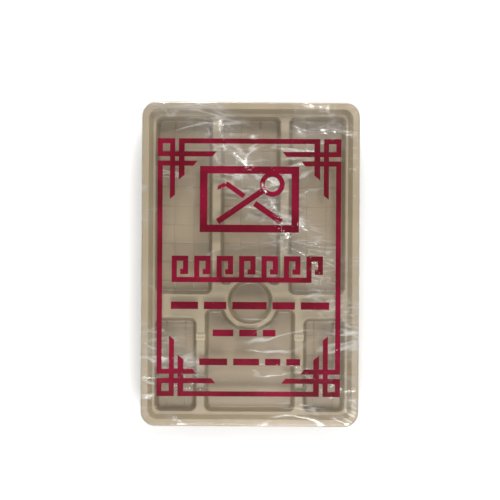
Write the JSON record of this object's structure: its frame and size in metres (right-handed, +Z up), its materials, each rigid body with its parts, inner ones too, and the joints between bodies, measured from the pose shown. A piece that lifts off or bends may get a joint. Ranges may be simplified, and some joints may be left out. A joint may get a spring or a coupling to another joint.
{
  "type": "wrapped stack of disposable dental trays",
  "caption": "Film-wrapped stack of nested disposable compartment trays for dental instruments, with three long pockets, a round cup well and three short pockets.",
  "frame": {"origin": "middle of the underside of the wrapped pack, on the surface it lies on", "axes": "+Z up out of the trays' open side, +Y along the pack towards the closed ends of the three long compartments, +X to the right when looking down with +Y away"},
  "size_m": [0.1852, 0.275, 0.0473],
  "materials": {
    "tray_plastic": "ivory thermoformed sheet, soft satin gloss",
    "film": "clear wrapping film",
    "film_printed": "clear wrapping film with a dark red printed border"
  },
  "bodies": {
    "pack_base": {"back_web": "film", "tray_01": "tray_plastic"},
    "tray_02": {"tray_02": "tray_plastic"},
    "tray_03": {"tray_03": "tray_plastic"},
    "tray_04": {"tray_04": "tray_plastic"},
    "tray_05": {"tray_05": "tray_plastic"},
    "tray_06": {"tray_06": "tray_plastic"},
    "tray_07": {"tray_07": "tray_plastic"},
    "tray_08": {"tray_08": "tray_plastic"},
    "tray_09": {"tray_09": "tray_plastic"},
    "tray_10": {"tray_10": "tray_plastic"},
    "front_web": {"front_web": "film_printed"}
  },
  "joints": [
    {"name": "tray_02_lift", "type": "slide", "parent": "pack_base", "child": "tray_02", "axis": [0, 0, 1], "range_m": [0, 0.06]},
    {"name": "tray_03_lift", "type": "slide", "parent": "tray_02", "child": "tray_03", "axis": [0, 0, 1], "range_m": [0, 0.06]},
    {"name": "tray_04_lift", "type": "slide", "parent": "tray_03", "child": "tray_04", "axis": [0, 0, 1], "range_m": [0, 0.06]},
    {"name": "tray_05_lift", "type": "slide", "parent": "tray_04", "child": "tray_05", "axis": [0, 0, 1], "range_m": [0, 0.06]},
    {"name": "tray_06_lift", "type": "slide", "parent": "tray_05", "child": "tray_06", "axis": [0, 0, 1], "range_m": [0, 0.06]},
    {"name": "tray_07_lift", "type": "slide", "parent": "tray_06", "child": "tray_07", "axis": [0, 0, 1], "range_m": [0, 0.06]},
    {"name": "tray_08_lift", "type": "slide", "parent": "tray_07", "child": "tray_08", "axis": [0, 0, 1], "range_m": [0, 0.06]},
    {"name": "tray_09_lift", "type": "slide", "parent": "tray_08", "child": "tray_09", "axis": [0, 0, 1], "range_m": [0, 0.06]},
    {"name": "tray_10_lift", "type": "slide", "parent": "tray_09", "child": "tray_10", "axis": [0, 0, 1], "range_m": [0, 0.06]},
    {"name": "front_web_lift", "type": "slide", "parent": "tray_10", "child": "front_web", "axis": [0, 0, 1], "range_m": [0, 0.06]}
  ]
}
